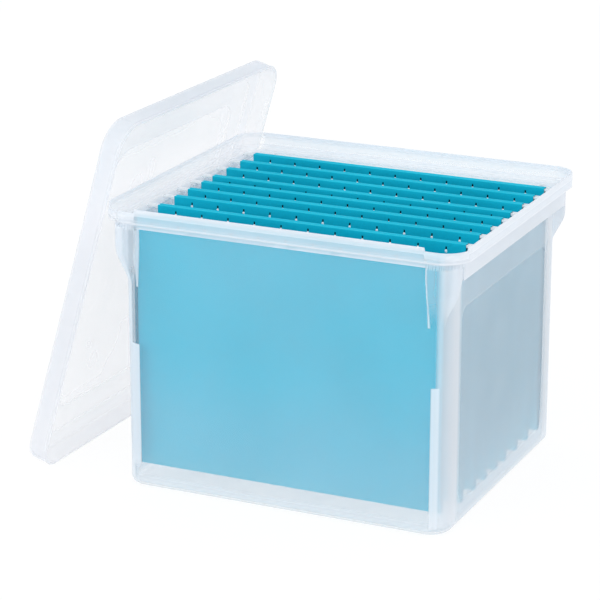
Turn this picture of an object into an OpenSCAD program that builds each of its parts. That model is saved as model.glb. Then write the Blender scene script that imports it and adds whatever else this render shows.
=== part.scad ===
// Portable file box: an open tub with a rail ledge, hanging folders and a lift-off lid.
// Millimetres, Z up. Origin at the centre of the tub's base, on the floor.
// The folders hang across X and stand one behind the other along Y.

/* [Tub] */
// Outside width of the tub at its base
tub_width = 314; // [260:1:400]
// Outside depth of the tub at its base
tub_depth = 284; // [236:1:400]
// Height from the floor to the top of the rim
tub_height = 265; // [220:1:320]
// Wall thickness of the tub
wall = 2.2; // [1.6:0.1:3]
// Radius of the tub's upright corners
corner_radius = 20; // [12:1:30]
// Radius of the edge round the base
base_edge_radius = 6; // [4:1:9]

/* [Rim] */
// How far the rim stands out past the short walls
rim_reach_side = 16; // [15.5:0.5:24]
// How far the rim stands out past the long walls
rim_reach_front = 8; // [7:0.5:14]
// Height of the lip above the rail ledge
lip_height = 16; // [14:0.5:24]
// How far the lip steps out past the rail box below it on the short sides
lip_step_side = 5.8; // [2.4:0.1:6]
// How far the lip steps out past the rail box below it on the long sides
lip_step_front = 2.5; // [2.4:0.1:4]
// Height of the lip's lower edge above the underside of the ledge
lip_edge_rise = 4.7; // [4.4:0.1:6]
// How much lower the lip is at its two front corners
corner_drop = 3.6; // [1:0.1:6]
// Length of the lowered lip along the front, from the rim's end
corner_drop_length = 35; // [28:1:45]
// Length of the lowered lip along the side, from the rim's front
corner_drop_side = 16; // [8:1:20]
// Depth of the small step round the inside of the lip's upper edge
lip_rebate = 0.7; // [0.3:0.1:1]
// Height of that step below the top of the lip
lip_rebate_height = 3.6; // [1:0.1:6]

/* [Handles and corner flares] */
// Depth of the hanging skirt below the ledge on the short sides
skirt_depth = 12.6; // [6:0.1:20]
// Length of each corner flare along the short side, from the rail box's corner
flare_side = 16; // [14:0.5:18.5]
// Length of each corner flare along the long side, from the rail box's corner
flare_front = 29.5; // [26:0.5:45]
// Height of a flare's upright part below the ledge
flare_drop = 26.8; // [20:0.1:50]
// Further height over which a flare slopes back into the wall
flare_slope = 27; // [20:1:50]

/* [Side panels] */
// Depth of the sunk panel in each short wall
panel_sink = 0.9; // [0.4:0.1:1]
// Distance from the sunk panel's sides to the tub's front and back
panel_margin = 35; // [28:1:60]
// Distance from the rail ledge's underside down to the sunk panel's upper edge
panel_drop = 45.8; // [41:0.1:80]
// Height of the sunk panel's lower edge
panel_bottom = 20; // [12:1:40]
// Corner radius of the sunk panel
panel_radius = 12; // [5:1:20]

/* [Folders] */
// Gap between a folder's side edge and the short wall when it hangs in the middle
folder_gap = 5.55; // [4.5:0.05:8]
// Gap between a folder's bottom fold and the tub's floor
floor_gap = 10; // [2:0.5:40]
// Distance from the front folder's middle plane to the front wall
end_gap = 16.3; // [15:0.1:18]
// Thickness of the folder's card
sheet = 0.5; // [0.3:0.05:0.6]
// Half the thickness of a folder at its top
flap_half = 3.4; // [3.2:0.1:3.8]
// How far a folder bellies out below its top
belly = 1.6; // [0.5:0.1:2]
// Sideways place of the folders between the short walls
folder_side = 2.2; // [0:0.1:2.5]
// Sideways place of the front folder
front_folder_side = -1; // [-2:0.1:2]
// Thickness of a hanging strip
strip_thickness = 1.6; // [1.2:0.1:1.7]
// Height of a hanging strip
strip_height = 2.6; // [2:0.1:3]
// Length of strip that bears on each ledge when the folder hangs in the middle
hook_bearing = 6.45; // [5:0.05:7.5]
// Distance from the side edge of the sheet to the first tab slot
slot_margin = 18.25; // [10:0.25:30]
// Number of tab slots in each flap
slot_count = 11; // [3:1:13]
// Width of a tab slot
slot_width = 1.5; // [1:0.1:3]
// Height of a tab slot
slot_height = 5; // [3:0.5:6]

/* [Lid] */
// Gap between the rim and the lid's skirt when the lid is on
lid_gap = 0.8; // [0.5:0.1:1.5]
// Thickness of the lid
lid_wall = 1.8; // [1.4:0.1:2.4]
// Depth of the lid from its top to the skirt's free edge
lid_depth = 20; // [15:0.5:24]
// Height of the lid's raised panel above its border
panel_rise = 1.5; // [0.8:0.1:3]
// Height of the second step on the raised panel
panel_step = 1.5; // [0.8:0.1:3]
// Width of the flat band between the raised panel's edge and the second step
panel_band = 24; // [12:1:40]
// Lean of the lid from upright, in degrees
lid_lean = 16; // [12:0.05:18]
// Turn of the lid on the floor, in degrees
lid_turn = 1.75; // [1.5:0.05:4]
// Place of the lid's middle along the box's depth
lid_along = 1; // [-10:0.5:4]

/* [Hidden] */
$fn = 64;
ledge_top = tub_height - lip_height;
ledge_under = ledge_top - wall;
// The rail box is the part of the rim that holds the ledge
rim_width = tub_width + 2 * rim_reach_side;
rim_depth = tub_depth + 2 * rim_reach_front;
rail_width = rim_width - 2 * lip_step_side;
rail_depth = rim_depth - 2 * lip_step_front;
// How much rounder the rail box and the lid's panel are than the tub's corners
rail_round = 1.5;
panel_round = 2;
rail_radius = corner_radius + rail_round;
rim_radius = rail_radius + lip_step_front;
lip_edge = ledge_under + lip_edge_rise;
lip_floor = lip_edge + wall;
flare_top = ledge_under + wall / 2;
flare_turn = ledge_under - flare_drop;
flare_foot = flare_turn - flare_slope;
skirt_bottom = ledge_under - skirt_depth;
// How far the skirt's ends run into the flares
skirt_overlap = 1;
panel_width = tub_depth - 2 * panel_margin;
panel_top = ledge_under - panel_drop;

// Rest height of the strips, straight on the ledge
strip_bottom = ledge_top;
strip_top = strip_bottom + strip_height;
strip_slack = 0.1;
folder_top = strip_top + strip_slack + sheet;
folder_bottom = wall + floor_gap;
folder_height = folder_top - folder_bottom;
folder_width = tub_width - 2 * wall - 2 * folder_gap;
// Place of each strip's middle plane from the folder's middle plane
strip_offset = flap_half - sheet - strip_slack - strip_thickness / 2;
// The inner layer of the hem that wraps a strip
hem_inner = strip_offset - strip_thickness / 2 - strip_slack - sheet;
hem_outer = flap_half - sheet - strip_slack;
// Below the strip the hem's inner layer joins the outer one, and ends a little lower
hem_turn_in = 4.5;
hem_length = 10.5;
hem_meets = strip_bottom - hem_turn_in;
hem_end = strip_bottom - hem_length;
fold_half = 1.4;
fold_rise = 14;
slot_drop = 0.6;
slot_top = strip_bottom - slot_drop;
slot_pitch = (folder_width - 2 * slot_margin) / (slot_count - 1);
strip_length = folder_width + 2 * folder_gap + 2 * hook_bearing;
notch_width = 3.5;
notch_depth = 0.9;
notch_place = 5;
// The folders were pushed about by hand, so their spacing is uneven
folder_count = 9;
folder_nudge = [0, 9.1, 10.6, 6.9, 3.6, -3.9, -4.9, -5.9, -7.1];
first_folder = wall + end_gap - tub_depth / 2;
folder_pitch = -2 * first_folder / (folder_count - 1);
belly_steps = 14;

lid_length = rim_width + 2 * (lid_gap + lid_wall);
lid_width = rim_depth + 2 * (lid_gap + lid_wall);
lid_radius = rim_radius + lid_gap + lid_wall;
lid_edge_radius = 4;
lid_border = 16.6;
lid_panel_length = lid_length - 2 * lid_border;
lid_panel_width = lid_width - 2 * lid_border;
lid_panel_radius = corner_radius + panel_round;
// The free edge of the lid's rear skirt stops at the round of the rim's rear left corner,
// lid_rest_gap short of it, unless the rim's side meets the lid's underside first.
// Both are worked out on the rim's upper edge, for a lid that leans and turns.
lid_rest_gap = 0.3;
lid_reach = tub_height * tan(lid_lean) + lid_rest_gap / cos(lid_lean);
touch_y = lid_along + (lid_width / 2 - lid_wall) * cos(lid_turn) - lid_reach * sin(lid_turn);
touch_round = max(0, min(rim_radius, touch_y - rim_depth / 2 + rim_radius));
touch_x = -rim_width / 2 + rim_radius - sqrt(rim_radius * rim_radius - touch_round * touch_round);
foot_by_skirt = touch_x - (lid_reach + sin(lid_turn) * (touch_y - lid_along)) / cos(lid_turn);
foot_by_underside = -rim_width / 2 - rim_depth / 2 * tan(lid_turn)
    + ((lid_depth - lid_wall) / cos(lid_lean) - lid_reach) / cos(lid_turn);
lid_foot = min(foot_by_skirt, foot_by_underside);

clear_plastic = [0.93, 0.95, 0.98, 0.4];
teal_card = [0.0, 0.5, 0.6];
white_coat = [0.93, 0.93, 0.92];
cut = 1;

// A flat rounded rectangle, centred
module round_plate(w, d, r)
{
    square([w - 2 * r, d], center = true);
    square([w, d - 2 * r], center = true);
    for (sx = [-1, 1])
        for (sy = [-1, 1])
            translate([sx * (w / 2 - r), sy * (d / 2 - r)])
                circle(r = r);
}

// An upright block with rounded corners
module round_block(w, d, r, z0, z1)
{
    translate([0, 0, z0])
        linear_extrude(z1 - z0)
            round_plate(w, d, r);
}

// A block with rounded corners and a rounded edge all round its underside
module round_tray(w, d, r, e, z0, z1)
{
    round_block(w, d, r, z0 + e, z1);
    round_block(w - 2 * e, d - 2 * e, r - e, z0, z0 + e + cut);
    for (s = [-1, 1]) {
        translate([0, s * (d / 2 - e), z0 + e])
            rotate([0, 90, 0])
                cylinder(r = e, h = w - 2 * r, center = true);
        translate([s * (w / 2 - e), 0, z0 + e])
            rotate([90, 0, 0])
                cylinder(r = e, h = d - 2 * r, center = true);
    }
    for (sx = [-1, 1])
        for (sy = [-1, 1])
            translate([sx * (w / 2 - r), sy * (d / 2 - r), z0 + e])
                rotate_extrude()
                    translate([r - e, 0])
                        intersection() {
                            circle(r = e);
                            translate([0, -e])
                                square([2 * e, 2 * e]);
                        }
}

// The four corner flares as one solid, drawn in by t for the hollow inside them
module flares(t)
{
    side_out = rail_width / 2 - t;
    side_in = tub_width / 2 - t;
    front_out = rail_depth / 2 - t;
    front_in = tub_depth / 2 - t;
    slack = t > 0 ? t : 0;
    intersection() {
        round_block(2 * side_out, 2 * front_out, rail_radius - t, flare_foot, flare_top);
        rotate([90, 0, 0])
            linear_extrude(2 * rail_depth, center = true)
                polygon([
                    [-side_out, flare_top], [-side_out, flare_turn + slack / 2],
                    [-side_in, flare_foot + slack], [side_in, flare_foot + slack],
                    [side_out, flare_turn + slack / 2], [side_out, flare_top]]);
        rotate([90, 0, 90])
            linear_extrude(2 * rail_width, center = true)
                polygon([
                    [-front_out, flare_top], [-front_in, flare_foot + slack],
                    [front_in, flare_foot + slack], [front_out, flare_top]]);
        for (sx = [-1, 1])
            for (sy = [-1, 1])
                translate([
                    sx * (rail_width / 2 - flare_front + slack + rail_width / 2),
                    sy * (rail_depth / 2 - flare_side + slack + rail_depth / 2), 0])
                    translate([-rail_width / 2, -rail_depth / 2, 0])
                        cube([rail_width, rail_depth, tub_height]);
    }
}

module tub()
{
    color(clear_plastic)
        difference() {
            union() {
                round_tray(tub_width, tub_depth, corner_radius, base_edge_radius, 0, ledge_top);
                flares(0);
                round_block(rail_width, rail_depth, rail_radius, ledge_under, lip_floor);
                round_block(rim_width, rim_depth, rim_radius, lip_edge, tub_height);
                for (s = [-1, 1])
                    translate([s * (rail_width / 2 - wall / 2), 0, (skirt_bottom + ledge_top) / 2])
                        cube([wall, rail_depth - 2 * flare_side + 2 * skirt_overlap,
                            ledge_top - skirt_bottom], center = true);
            }
            round_tray(tub_width - 2 * wall, tub_depth - 2 * wall, corner_radius - wall,
                base_edge_radius - wall, wall, tub_height + cut);
            flares(wall);
            round_block(rail_width - 2 * wall, rail_depth - 2 * wall, rail_radius - wall,
                ledge_top, tub_height + cut);
            round_block(rim_width - 2 * wall, rim_depth - 2 * wall, rim_radius - wall,
                lip_floor, tub_height + cut);
            round_block(rim_width - 2 * wall + 2 * lip_rebate, rim_depth - 2 * wall + 2 * lip_rebate,
                rim_radius - wall + lip_rebate, tub_height - lip_rebate_height, tub_height + cut);
            for (s = [-1, 1])
                translate([
                    s * (rim_width / 2 - corner_drop_length / 2 + cut / 2),
                    -(rim_depth / 2 - corner_drop_side / 2 + cut / 2),
                    tub_height - corner_drop / 2 + cut / 2])
                    cube([corner_drop_length + cut, corner_drop_side + cut,
                        corner_drop + cut], center = true);
            for (s = [-1, 1])
                translate([s * (tub_width / 2 + cut - panel_sink / 2 - cut / 2), 0,
                    (panel_top + panel_bottom) / 2])
                    rotate([90, 0, 90])
                        translate([0, 0, -(panel_sink + cut) / 2])
                            linear_extrude(panel_sink + cut)
                                round_plate(panel_width, panel_top - panel_bottom, panel_radius);
        }
}

// Half the outside thickness of a folder, s of the way from the bottom fold to the top
function folder_half(s) =
    let (close = min(1, s * folder_height / fold_rise))
    fold_half + (flap_half - fold_half) * sqrt(close)
        + belly * sin(180 * pow(s, 0.75)) * close;

function folder_side_points(inset) = [
    for (i = [0 : belly_steps])
        let (s = i == 0 ? 0 : i == 1 ? 0.01 : i == 2 ? 0.03 : (i - 2) / (belly_steps - 2))
        [folder_half(s) - inset, folder_bottom + inset * (1 - s) + s * folder_height]];

// The right half of the sheet's section: up its outer face, over the strip's top, down and
// back up the hem's inner layer, round the strip's pocket and down its inner face
function folder_half_section() =
    let (lower = strip_bottom - strip_slack, inner = folder_side_points(sheet))
    concat(
        folder_side_points(0),
        [[hem_inner, folder_top], [hem_inner, lower - sheet / 2],
            [hem_outer - sheet, hem_meets], [hem_outer - sheet, hem_end],
            [hem_outer, hem_end], [hem_outer, hem_meets + sheet / 2],
            [hem_inner + sheet, lower], [hem_inner + sheet, folder_top - sheet],
            [flap_half - sheet, folder_top - sheet]],
        [for (i = [belly_steps - 1 : -1 : 0]) inner[i]]);

// The whole section goes up the right half and comes back down the mirrored left half
module folder_section()
{
    right = folder_half_section();
    last = len(right) - 1;
    polygon(concat(right, [for (i = [last : -1 : 0]) [-right[i][0], right[i][1]]]));
}

module folder_card()
{
    difference() {
        rotate([90, 0, 90])
            linear_extrude(folder_width, center = true)
                folder_section();
        for (i = [0 : slot_count - 1])
            translate([(i - (slot_count - 1) / 2) * slot_pitch, 0, slot_top - slot_height / 2])
                cube([slot_width, 4 * flap_half, slot_height], center = true);
    }
}

// A flat hanging strip with a notch near each end
module hanging_strip(side)
{
    translate([0, side * strip_offset, 0])
        difference() {
            translate([0, 0, (strip_bottom + strip_top) / 2])
                cube([strip_length, strip_thickness, strip_height], center = true);
            for (s = [-1, 1])
                translate([s * (folder_width / 2 + notch_place), 0, strip_bottom])
                    cube([notch_width, 2 * strip_thickness, 2 * notch_depth], center = true);
        }
}

// Puts something at the rest place of folder k, counted from the front
module at_folder(k)
{
    translate([k == 1 ? front_folder_side : folder_side,
        first_folder + (k - 1) * folder_pitch + folder_nudge[k - 1], 0])
        children();
}

// The lid as it lies on the tub: skirt down, its free edge at zero height
module lid_shape()
{
    top = lid_depth;
    inner = top - lid_wall;
    difference() {
        union() {
            translate([0, 0, top])
                mirror([0, 0, 1])
                    round_tray(lid_length, lid_width, lid_radius, lid_edge_radius, 0, top);
            round_block(lid_panel_length, lid_panel_width, lid_panel_radius, inner, top + panel_rise);
            round_block(lid_panel_length - 2 * panel_band, lid_panel_width - 2 * panel_band,
                lid_panel_radius, inner, top + panel_rise + panel_step);
        }
        translate([0, 0, top])
            mirror([0, 0, 1])
                round_tray(lid_length - 2 * lid_wall, lid_width - 2 * lid_wall,
                    lid_radius - lid_wall, lid_edge_radius - lid_wall, lid_wall, top + cut);
        round_block(lid_panel_length - 2 * lid_wall, lid_panel_width - 2 * lid_wall,
            lid_panel_radius - lid_wall, inner - cut, inner + panel_rise);
        round_block(lid_panel_length - 2 * panel_band - 2 * lid_wall,
            lid_panel_width - 2 * panel_band - 2 * lid_wall,
            lid_panel_radius - lid_wall, inner - cut, inner + panel_rise + panel_step);
    }
}

// The lid off the tub, leaning on the rim with its foot on the floor
module lid()
{
    color(clear_plastic)
        translate([lid_foot, lid_along, 0])
            rotate([0, 0, -lid_turn])
                rotate([0, lid_lean - 90, 0])
                    translate([lid_length / 2, 0, 0])
                        lid_shape();
}

module folder_1_card()
{
    color(teal_card)
        at_folder(1)
            folder_card();
}

module folder_1_front_strip()
{
    color(white_coat)
        at_folder(1)
            hanging_strip(-1);
}

module folder_1_rear_strip()
{
    color(white_coat)
        at_folder(1)
            hanging_strip(1);
}

module folder_2_card()
{
    color(teal_card)
        at_folder(2)
            folder_card();
}

module folder_2_front_strip()
{
    color(white_coat)
        at_folder(2)
            hanging_strip(-1);
}

module folder_2_rear_strip()
{
    color(white_coat)
        at_folder(2)
            hanging_strip(1);
}

module folder_3_card()
{
    color(teal_card)
        at_folder(3)
            folder_card();
}

module folder_3_front_strip()
{
    color(white_coat)
        at_folder(3)
            hanging_strip(-1);
}

module folder_3_rear_strip()
{
    color(white_coat)
        at_folder(3)
            hanging_strip(1);
}

module folder_4_card()
{
    color(teal_card)
        at_folder(4)
            folder_card();
}

module folder_4_front_strip()
{
    color(white_coat)
        at_folder(4)
            hanging_strip(-1);
}

module folder_4_rear_strip()
{
    color(white_coat)
        at_folder(4)
            hanging_strip(1);
}

module folder_5_card()
{
    color(teal_card)
        at_folder(5)
            folder_card();
}

module folder_5_front_strip()
{
    color(white_coat)
        at_folder(5)
            hanging_strip(-1);
}

module folder_5_rear_strip()
{
    color(white_coat)
        at_folder(5)
            hanging_strip(1);
}

module folder_6_card()
{
    color(teal_card)
        at_folder(6)
            folder_card();
}

module folder_6_front_strip()
{
    color(white_coat)
        at_folder(6)
            hanging_strip(-1);
}

module folder_6_rear_strip()
{
    color(white_coat)
        at_folder(6)
            hanging_strip(1);
}

module folder_7_card()
{
    color(teal_card)
        at_folder(7)
            folder_card();
}

module folder_7_front_strip()
{
    color(white_coat)
        at_folder(7)
            hanging_strip(-1);
}

module folder_7_rear_strip()
{
    color(white_coat)
        at_folder(7)
            hanging_strip(1);
}

module folder_8_card()
{
    color(teal_card)
        at_folder(8)
            folder_card();
}

module folder_8_front_strip()
{
    color(white_coat)
        at_folder(8)
            hanging_strip(-1);
}

module folder_8_rear_strip()
{
    color(white_coat)
        at_folder(8)
            hanging_strip(1);
}

module folder_9_card()
{
    color(teal_card)
        at_folder(9)
            folder_card();
}

module folder_9_front_strip()
{
    color(white_coat)
        at_folder(9)
            hanging_strip(-1);
}

module folder_9_rear_strip()
{
    color(white_coat)
        at_folder(9)
            hanging_strip(1);
}

tub();
lid();
folder_1_card();
folder_1_front_strip();
folder_1_rear_strip();
folder_2_card();
folder_2_front_strip();
folder_2_rear_strip();
folder_3_card();
folder_3_front_strip();
folder_3_rear_strip();
folder_4_card();
folder_4_front_strip();
folder_4_rear_strip();
folder_5_card();
folder_5_front_strip();
folder_5_rear_strip();
folder_6_card();
folder_6_front_strip();
folder_6_rear_strip();
folder_7_card();
folder_7_front_strip();
folder_7_rear_strip();
folder_8_card();
folder_8_front_strip();
folder_8_rear_strip();
folder_9_card();
folder_9_front_strip();
folder_9_rear_strip();
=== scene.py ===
# Portable file box: see-through tub, leaning lid and nine hanging folders
import bmesh
import bpy
import math
import numpy as np
from mathutils import Matrix, Vector


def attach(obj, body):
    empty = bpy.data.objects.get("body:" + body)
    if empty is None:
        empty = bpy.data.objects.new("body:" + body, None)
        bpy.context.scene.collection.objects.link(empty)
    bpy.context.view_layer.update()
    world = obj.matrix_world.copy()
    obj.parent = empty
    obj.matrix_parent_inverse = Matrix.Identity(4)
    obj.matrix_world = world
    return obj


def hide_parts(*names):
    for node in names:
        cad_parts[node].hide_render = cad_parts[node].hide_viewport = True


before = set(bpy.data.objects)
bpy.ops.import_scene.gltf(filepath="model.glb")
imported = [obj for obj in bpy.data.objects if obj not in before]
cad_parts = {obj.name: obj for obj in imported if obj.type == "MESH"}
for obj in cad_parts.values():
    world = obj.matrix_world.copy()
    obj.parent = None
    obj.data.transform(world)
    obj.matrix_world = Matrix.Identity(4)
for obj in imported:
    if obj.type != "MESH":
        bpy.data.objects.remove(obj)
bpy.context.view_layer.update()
print("frame loaded,", len(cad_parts), "nodes")

# Camera: place in metres, turn, tilt and roll in degrees
cameraSpec = {
    "place": (0.9093, -2.0830, 0.8911),
    "turn": 24.62,
    "tilt": 72.08,
    "roll": 0.06,
    "lens": 155.29,
    "sensor": 36.0,
    "reach": 50,
}


# The camera stands at its place, rolled first, then tilted up from straight down, then turned about Z
def makeCamera(spec):
    data = bpy.data.cameras.new("boxCamera")
    data.lens = spec["lens"]
    data.sensor_width = spec["sensor"]
    data.clip_end = spec["reach"]
    camera = bpy.data.objects.new("boxCamera", data)
    turned = Matrix.Rotation(math.radians(spec["turn"]), 4, "Z")
    tilted = Matrix.Rotation(math.radians(spec["tilt"]), 4, "X")
    rolled = Matrix.Rotation(math.radians(spec["roll"]), 4, "Z")
    camera.matrix_world = Matrix.Translation(Vector(spec["place"])) @ turned @ tilted @ rolled
    bpy.context.scene.collection.objects.link(camera)
    bpy.context.scene.camera = camera


makeCamera(cameraSpec)
bpy.context.scene.view_settings.view_transform = "Standard"
bpy.context.scene.cycles.transparent_max_bounces = 32

# Shared mesh helpers. Lengths in the shape code are millimetres.
millimetre = 0.001


# 0 below low, 1 above high, and 3 t^2 - 2 t^3 between them, with t the share of the way
def smoothStep(low, high, value):
    t = np.clip((value - low) / (high - low), 0, 1)
    return t * t * (3 - 2 * t)


# Signed distance to a rounded rectangle: the length of what lies past its corner centres, less the radius
def roundedDistance(x, y, halfX, halfY, radius):
    px = np.abs(x) - (halfX - radius)
    py = np.abs(y) - (halfY - radius)
    return np.hypot(np.maximum(px, 0), np.maximum(py, 0)) + np.minimum(np.maximum(px, py), 0) - radius


# Quads of a grid that closes on itself along its columns: (r, c), (r, c+1), (r+1, c+1), (r+1, c)
def gridFaces(rowCount, columnCount):
    r, c = np.meshgrid(np.arange(rowCount - 1), np.arange(columnCount), indexing="ij")
    n = (c + 1) % columnCount
    quads = np.stack([r * columnCount + c, r * columnCount + n,
                      (r + 1) * columnCount + n, (r + 1) * columnCount + c], -1)
    return quads.reshape(-1, 4)


# The two end caps of such a grid, the first in column order and the last turned round
def endCaps(rowCount, columnCount):
    last = (rowCount - 1) * columnCount
    return [list(range(columnCount)), [last + i for i in range(columnCount)][::-1]]


# Point and face arrays in millimetres become a clean object in metres, smooth wherever two faces
# meet at less than sharpAngle, with each flag as a point attribute
def makePiece(name, points, faces, material, sharpAngle=32.0, mergeGap=0.015, flags=None):
    mesh = bpy.data.meshes.new(name)
    mesh.from_pydata((points * millimetre).tolist(), [], [list(f) for f in faces])
    for flagName, values in (flags or {}).items():
        layer = mesh.attributes.new(flagName, "FLOAT", "POINT")
        layer.data.foreach_set("value", values.astype(np.float32))
    work = bmesh.new()
    work.from_mesh(mesh)
    bmesh.ops.remove_doubles(work, verts=work.verts, dist=mergeGap * millimetre)
    bmesh.ops.dissolve_degenerate(work, edges=work.edges, dist=mergeGap * millimetre)
    bmesh.ops.recalc_face_normals(work, faces=work.faces)
    limit = math.radians(sharpAngle)
    for edge in work.edges:
        edge.smooth = not (len(edge.link_faces) == 2 and edge.calc_face_angle(0.0) > limit)
    for face in work.faces:
        face.smooth = True
    work.to_mesh(mesh)
    work.free()
    mesh.materials.append(material)
    piece = bpy.data.objects.new(name, mesh)
    bpy.context.scene.collection.objects.link(piece)
    return piece


# Rounds a path of rows: each inner key becomes a quadratic curve between two points a radius from it
# on its two legs, or 0.45 of a leg where the leg is short
def softenedRows(keys, radius):
    rows = [keys[0]]
    for before, here, after in zip(keys[:-2], keys[1:-1], keys[2:]):
        back = before - here
        ahead = after - here
        backLength = np.maximum(np.linalg.norm(back, axis=-1, keepdims=True), 1e-6)
        aheadLength = np.maximum(np.linalg.norm(ahead, axis=-1, keepdims=True), 1e-6)
        reach = np.minimum(radius, 0.45 * np.minimum(backLength, aheadLength))
        first = here + back / backLength * reach
        last = here + ahead / aheadLength * reach
        rows += [first, 0.25 * first + 0.5 * here + 0.25 * last, last]
    rows.append(keys[-1])
    return rows


# The key values spread over softened rows: one at each end and three for each inner key
def softenedValues(values):
    return [values[0]] + [v for v in values[1:-1] for _ in range(3)] + [values[-1]]


# Materials: node helpers
cloudRange = (0.25, 0.75)
grainRange = (0.3, 0.7)
leastCosine = 0.08


# A material with nodes, its tree and its Principled shader
def newMaterial(name):
    material = bpy.data.materials.new(name)
    material.use_nodes = True
    tree = material.node_tree
    return material, tree, tree.nodes["Principled BSDF"]


# One operation on a and b, each a number or a socket
def addMath(tree, operation, a, b=None, clamp=False):
    node = tree.nodes.new("ShaderNodeMath")
    node.operation = operation
    node.use_clamp = clamp
    for socket, value in zip(node.inputs, (a, b)):
        if value is None:
            continue
        if isinstance(value, (int, float)):
            socket.default_value = value
        else:
            tree.links.new(value, socket)
    return node.outputs[0]


# Smooth step of the value from low to high, going from toLow to toHigh
def addRange(tree, value, low, high, toLow=0.0, toHigh=1.0):
    node = tree.nodes.new("ShaderNodeMapRange")
    node.interpolation_type = "SMOOTHSTEP"
    tree.links.new(value, node.inputs["Value"])
    node.inputs["From Min"].default_value = low
    node.inputs["From Max"].default_value = high
    node.inputs["To Min"].default_value = toLow
    node.inputs["To Max"].default_value = toHigh
    return node.outputs["Result"]


# Noise from 0 to 1, its scale in waves per metre
def addNoise(tree, vector, scale, detail=3.0, roughness=0.5):
    node = tree.nodes.new("ShaderNodeTexNoise")
    tree.links.new(vector, node.inputs["Vector"])
    node.inputs["Scale"].default_value = scale
    node.inputs["Detail"].default_value = detail
    node.inputs["Roughness"].default_value = roughness
    return node.outputs["Fac"]


# Tilts the shader's normal by the slope of height x distance, times the strength
def addBump(tree, height, strength, distance, shader):
    node = tree.nodes.new("ShaderNodeBump")
    node.inputs["Strength"].default_value = strength
    node.inputs["Distance"].default_value = distance
    tree.links.new(height, node.inputs["Height"])
    tree.links.new(node.outputs["Normal"], shader.inputs["Normal"])


# first x (1 - factor) + second x factor, each a colour or a socket
def addColourMix(tree, factor, first, second):
    node = tree.nodes.new("ShaderNodeMix")
    node.data_type = "RGBA"
    tree.links.new(factor, node.inputs[0])
    for socket, value in ((node.inputs[6], first), (node.inputs[7], second)):
        if isinstance(value, tuple):
            socket.default_value = (*value, 1)
        else:
            tree.links.new(value, socket)
    return node.outputs[2]


# The value of one of the piece's own point attributes
def addFlag(tree, name):
    node = tree.nodes.new("ShaderNodeAttribute")
    node.attribute_name = name
    return node.outputs["Fac"]


# The value where the flag is 0, and its share where the flag is 1: value x (1 + flag x (share - 1))
def thinnedBy(tree, value, flag, share):
    drop = addMath(tree, "MULTIPLY", flag, share - 1)
    return addMath(tree, "MULTIPLY", value, addMath(tree, "ADD", drop, 1.0))


# Roughness from low to low + spread as the noise goes through its range
def addRoughness(tree, noise, noiseRange, low, spread, shader):
    tree.links.new(addRange(tree, noise, *noiseRange, low, low + spread), shader.inputs["Roughness"])


# Object coordinates, in metres
def objectPlace(tree):
    return tree.nodes.new("ShaderNodeTexCoord").outputs["Object"]


# The x, y and z of a place
def splitPlace(tree, place):
    split = tree.nodes.new("ShaderNodeSeparateXYZ")
    tree.links.new(place, split.inputs[0])
    return split.outputs[0], split.outputs[1], split.outputs[2]


# Light from behind: a share of the surface turns Translucent, under the same see-through alpha
def letThrough(tree, shader, colour, alpha, share):
    behind = tree.nodes.new("ShaderNodeBsdfTranslucent")
    tree.links.new(colour, behind.inputs["Color"])
    clear = tree.nodes.new("ShaderNodeBsdfTransparent")
    lit = tree.nodes.new("ShaderNodeMixShader")
    lit.inputs[0].default_value = share
    tree.links.new(shader.outputs[0], lit.inputs[1])
    tree.links.new(behind.outputs[0], lit.inputs[2])
    seen = tree.nodes.new("ShaderNodeMixShader")
    tree.links.new(alpha, seen.inputs[0])
    tree.links.new(clear.outputs[0], seen.inputs[1])
    tree.links.new(lit.outputs[0], seen.inputs[2])
    tree.links.new(seen.outputs[0], tree.nodes["Material Output"].inputs["Surface"])


# See-through share of a thin hazy wall: 1 - exp(-depth / cosine), with the cosine from Layer Weight
def hazeAlpha(tree, depth):
    facing = tree.nodes.new("ShaderNodeLayerWeight")
    facing.inputs["Blend"].default_value = 0.5
    cosine = addMath(tree, "SUBTRACT", 1 + leastCosine, facing.outputs["Facing"])
    path = addMath(tree, "DIVIDE", depth, cosine)
    left = addMath(tree, "POWER", math.e, addMath(tree, "MULTIPLY", path, -1.0))
    return addMath(tree, "SUBTRACT", 1.0, left, clamp=True)


# What both plastics share: cloudy depth, whiter where the extra haze flag is high (edges, and on the tub
# also the painted reflection and highlight strips), light from behind, grain in the gloss, slow bump
def finishPlastic(spec, tree, shader, place, depth, edge):
    cloud = addNoise(tree, place, spec["cloudScale"], 2.0)
    swell = addRange(tree, cloud, *cloudRange, 1 - spec["cloudSpread"], 1 + spec["cloudSpread"])
    depth = addMath(tree, "MULTIPLY", depth, swell)
    colour = addColourMix(tree, edge, spec["clear"], spec["milky"])
    tree.links.new(colour, shader.inputs["Base Color"])
    letThrough(tree, shader, colour, hazeAlpha(tree, depth), spec["through"])
    grain = addNoise(tree, place, spec["grainScale"], 2.0)
    addRoughness(tree, grain, grainRange, spec["roughness"], spec["grainSpread"], shader)
    shader.inputs["IOR"].default_value = spec["ior"]
    ripple = addNoise(tree, place, spec["bumpScale"], 1.0)
    addBump(tree, ripple, spec["bumpStrength"], spec["bumpDepth"], shader)


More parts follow.
